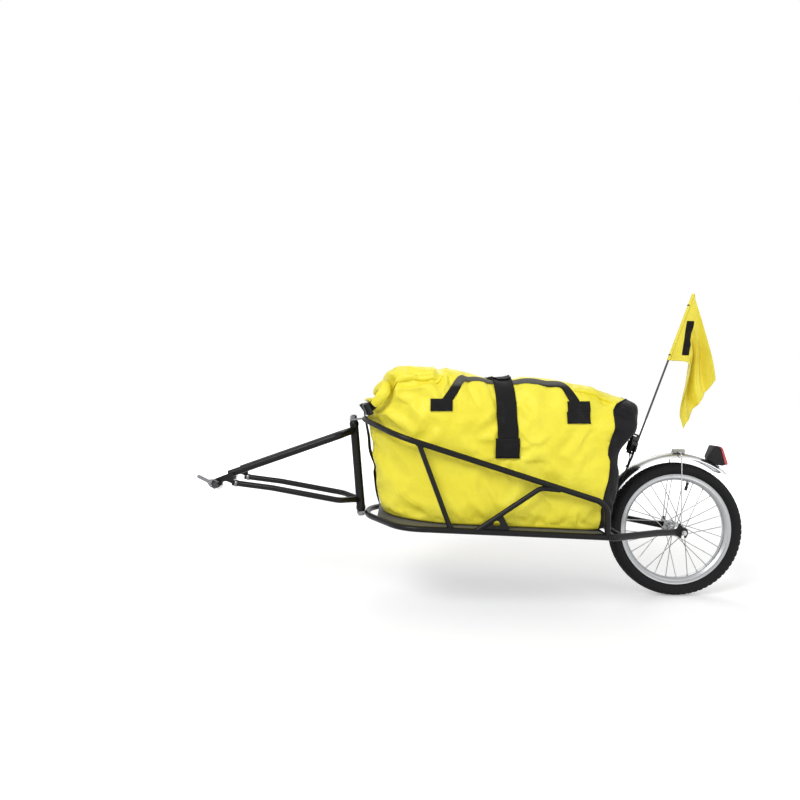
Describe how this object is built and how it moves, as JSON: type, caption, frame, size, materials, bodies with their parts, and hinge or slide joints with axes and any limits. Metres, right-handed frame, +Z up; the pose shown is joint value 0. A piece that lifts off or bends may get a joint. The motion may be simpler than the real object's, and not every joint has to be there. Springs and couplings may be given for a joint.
{
  "type": "single-wheel bicycle cargo trailer",
  "caption": "Narrow single-wheel cargo trailer for a bicycle, with a hooked fork, steering head, tubular tray, fender, tail light, flag and a packed dry bag.",
  "frame": {"origin": "middle of the bicycle's rear axle, on the axis of the hitch skewer", "axes": "+X rearwards, away from the bicycle, +Y to the trailer's right, +Z up"},
  "size_m": [1.542, 0.418, 0.8932],
  "materials": {
    "black_paint": "gloss black powder coat",
    "grey_paint": "light grey paint",
    "dark_sheet": "matt dark grey sheet",
    "zinc": "zinc plated steel",
    "steel": "bright turned steel",
    "chrome": "polished",
    "aluminium": "satin",
    "tyre": "matt black rubber",
    "black_plastic": "moulded black plastic",
    "red_lens": "red lens",
    "pole": "dark fibreglass rod",
    "yellow_cloth": "thin coated flag cloth",
    "yellow_coated": "coated dry bag fabric",
    "black_coated": "black coated fabric",
    "webbing": "woven black webbing"
  },
  "bodies": {
    "skewer": {"hitch_skewer": "steel", "bobbin_left": "steel", "bobbin_right": "steel", "skewer_cam": "aluminium", "skewer_nut": "steel"},
    "lever": {"skewer_lever": "steel"},
    "fork": {"hook_plate_left": "black_paint", "hook_plate_right": "black_paint", "fork_upper_arm_left": "black_paint", "fork_upper_arm_right": "black_paint", "fork_lower_arm_left": "black_paint", "fork_lower_arm_right": "black_paint", "head_tube": "black_paint", "bush_upper": "black_plastic", "bush_lower": "black_plastic"},
    "latch_blade_left": {"latch_left": "zinc"},
    "latch_blade_right": {"latch_right": "zinc"},
    "frame": {"pivot_pin": "zinc", "pivot_nut": "zinc", "upper_bracket": "grey_paint", "lower_bracket": "grey_paint", "upper_rail_left": "black_paint", "upper_rail_right": "black_paint", "lower_rail_left": "black_paint", "lower_rail_right": "black_paint", "front_strut_left": "black_paint", "front_strut_right": "black_paint", "rear_strut_left": "black_paint", "rear_strut_right": "black_paint", "gusset_left": "black_paint", "gusset_right": "black_paint", "tray_floor": "dark_sheet", "rear_cross_tube": "black_paint", "rear_arm_left": "black_paint", "rear_arm_right": "black_paint", "dropout_left": "black_paint", "dropout_right": "black_paint", "fender_bridge": "black_paint", "fender": "chrome", "fender_bolt": "zinc", "fender_stay": "chrome", "fender_clip": "black_plastic", "light_housing": "black_plastic", "light_lens": "red_lens", "flag_holder": "black_paint", "wheel_axle": "steel", "axle_nut_left": "zinc", "axle_nut_right": "zinc"},
    "wheel": {"hub": "aluminium", "rim": "aluminium", "tyre": "tyre"},
    "flag_and_pole": {"flag_pole": "pole", "flag": "yellow_cloth"},
    "bag": {"bag_body": "yellow_coated", "bag_end_panel": "black_coated", "roll_closure": "yellow_coated", "bag_buckle": "black_plastic", "bag_strap": "webbing", "bag_handle_left": "webbing", "bag_handle_right": "webbing"}
  },
  "joints": [
    {"name": "lever_turn", "type": "hinge", "parent": "skewer", "child": "lever", "pos_m": [0, -0.0885, 0], "axis": [0.4384, 0, 0.8988], "range_deg": [0, 170]},
    {"name": "fork_pitch", "type": "hinge", "parent": "skewer", "child": "fork", "pos_m": [0, 0, 0], "axis": [0, 1, 0], "range_deg": [-35, 20]},
    {"name": "latch_left_open", "type": "hinge", "parent": "fork", "child": "latch_blade_left", "pos_m": [0.0209, -0.0722, 0.02], "axis": [0, 1, 0], "range_deg": [-40, 0], "stiffness_Nm_per_rad": 0.05, "springref_deg": 20.05},
    {"name": "latch_right_open", "type": "hinge", "parent": "fork", "child": "latch_blade_right", "pos_m": [0.0209, 0.0722, 0.02], "axis": [0, 1, 0], "range_deg": [-40, 0], "stiffness_Nm_per_rad": 0.05, "springref_deg": 20.05},
    {"name": "steer", "type": "hinge", "parent": "fork", "child": "frame", "pos_m": [0.385, 0, 0], "axis": [-0.0812, 0, 0.9967], "range_deg": [-60, 60]},
    {"name": "wheel_spin", "type": "hinge", "parent": "frame", "child": "wheel", "pos_m": [1.2935, 0, -0.139], "axis": [0, 1, 0], "continuous": true},
    {"name": "flag_lift", "type": "slide", "parent": "frame", "child": "flag_and_pole", "axis": [0.3551, 0, 0.9348], "range_m": [0, 0.07]},
    {"name": "bag_lift", "type": "slide", "parent": "frame", "child": "bag", "axis": [0, 0, 1], "range_m": [0, 0.35]}
  ]
}
